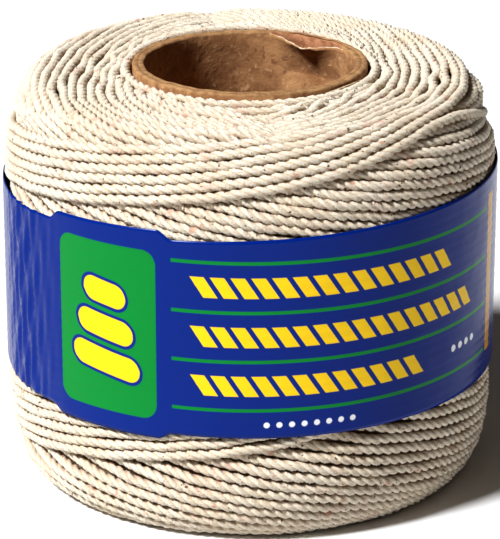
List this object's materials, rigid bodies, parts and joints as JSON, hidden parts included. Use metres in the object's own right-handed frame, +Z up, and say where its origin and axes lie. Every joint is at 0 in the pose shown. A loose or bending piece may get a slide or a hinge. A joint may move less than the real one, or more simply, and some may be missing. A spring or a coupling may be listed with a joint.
{
  "type": "roll of cotton cable cord",
  "caption": "Upright cross-wound roll of natural cotton cable cord on a cardboard core, with a glossy film band round its middle.",
  "frame": {"origin": "on the floor under the middle of the roll, in the plane of the flat end that it stands on", "axes": "+Z up along the core; -Y is the front, the side with the band's coloured panel to its left; +X is the roll's right-hand side seen from the front"},
  "size_m": [0.102, 0.102, 0.0863],
  "materials": {
    "wound_cord": "matt, twisted natural cotton strands with seed flecks",
    "core_tube": "matt brown board",
    "film_band": "glossy printed film"
  },
  "bodies": {
    "root": {"core_tube": "core_tube", "wound_cord": "wound_cord", "film_band": "film_band"}
  },
  "joints": []
}
